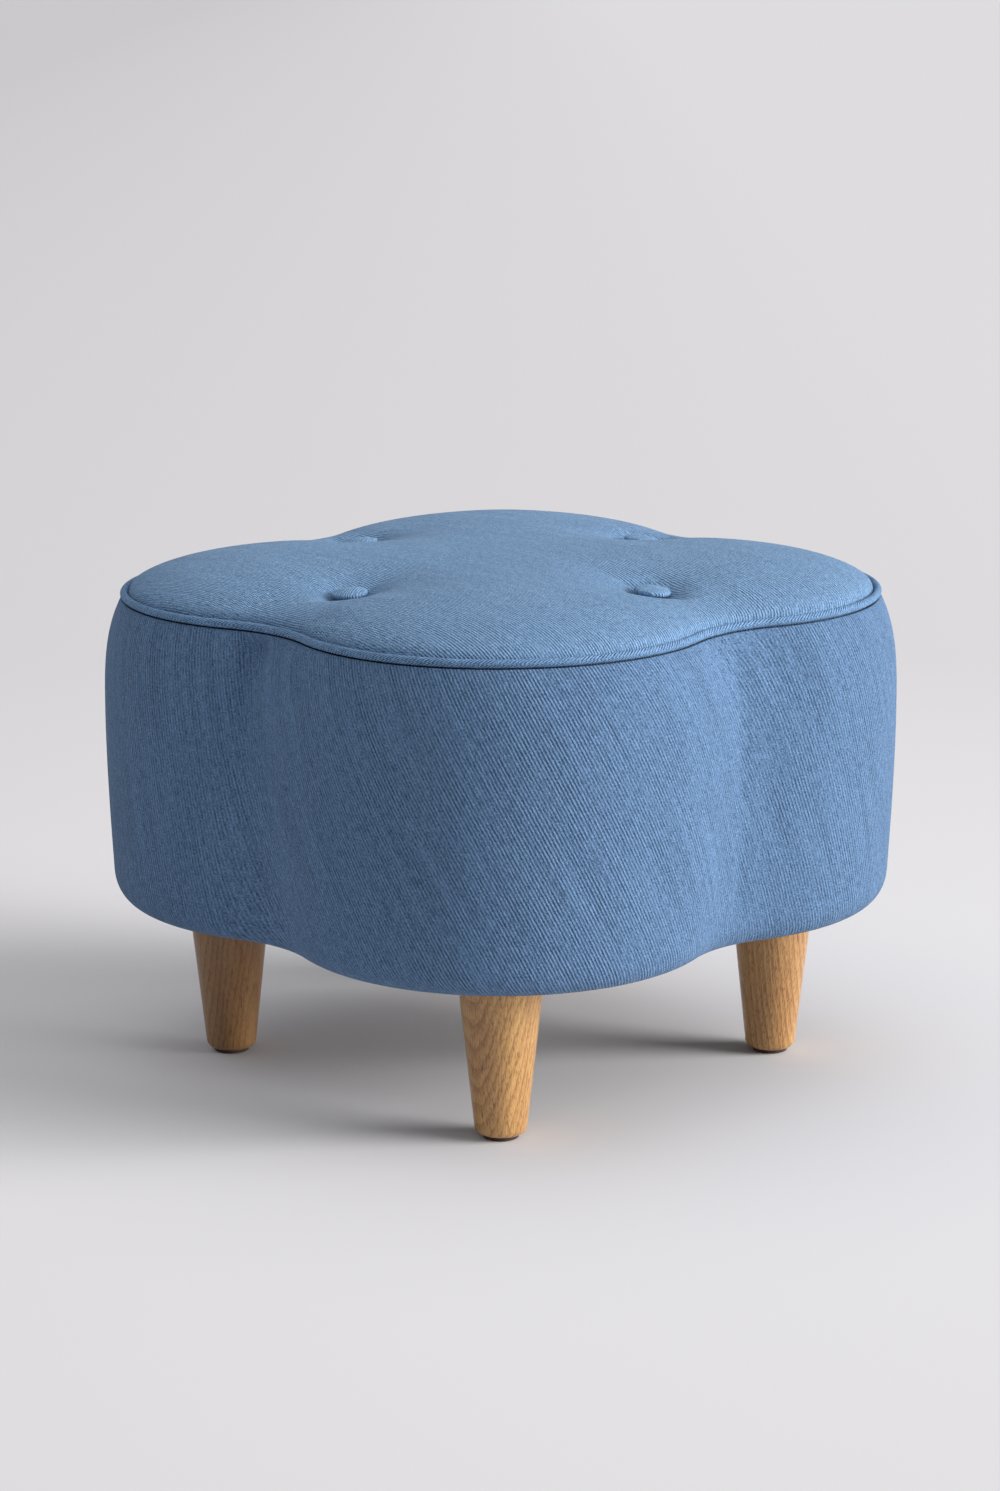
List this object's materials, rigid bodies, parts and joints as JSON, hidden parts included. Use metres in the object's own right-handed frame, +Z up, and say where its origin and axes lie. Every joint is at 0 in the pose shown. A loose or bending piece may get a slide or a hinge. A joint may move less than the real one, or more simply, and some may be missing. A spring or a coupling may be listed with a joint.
{
  "type": "pouf",
  "caption": "Clover-shaped upholstered pouf with a welted, tufted crown, bulged padded sides and short turned tapered wooden legs.",
  "frame": {"origin": "on the floor under the middle of the seat", "axes": "+Z up; -Y towards the lobe at the front of the picture; +X towards the lobe at its right"},
  "size_m": [0.6, 0.6, 0.4018],
  "materials": {
    "leg_wood": "satin",
    "glide": "matte",
    "steel": "satin",
    "plywood": "matte",
    "pine": "matte",
    "side_fabric": "matte",
    "top_fabric": "matte",
    "welt_fabric": "matte",
    "button_fabric": "matte",
    "foam": "matte",
    "twine": "matte",
    "dust_sheet": "matte"
  },
  "bodies": {
    "root": {"base_board": "plywood", "buttons": "button_fabric", "cap_nuts": "steel", "deck_board": "plywood", "dust_cover": "dust_sheet", "dust_cover_staples": "steel", "glides": "glide", "leg_bolts": "steel", "legs": "leg_wood", "post_back": "pine", "post_back_left": "pine", "post_back_right": "pine", "post_front": "pine", "post_front_left": "pine", "post_front_right": "pine", "post_left": "pine", "post_right": "pine", "seat_slab": "foam", "side_cover": "side_fabric", "top_cover": "top_fabric", "tufting_twine": "twine", "twine_blocks": "pine", "welt": "welt_fabric"}
  },
  "joints": []
}
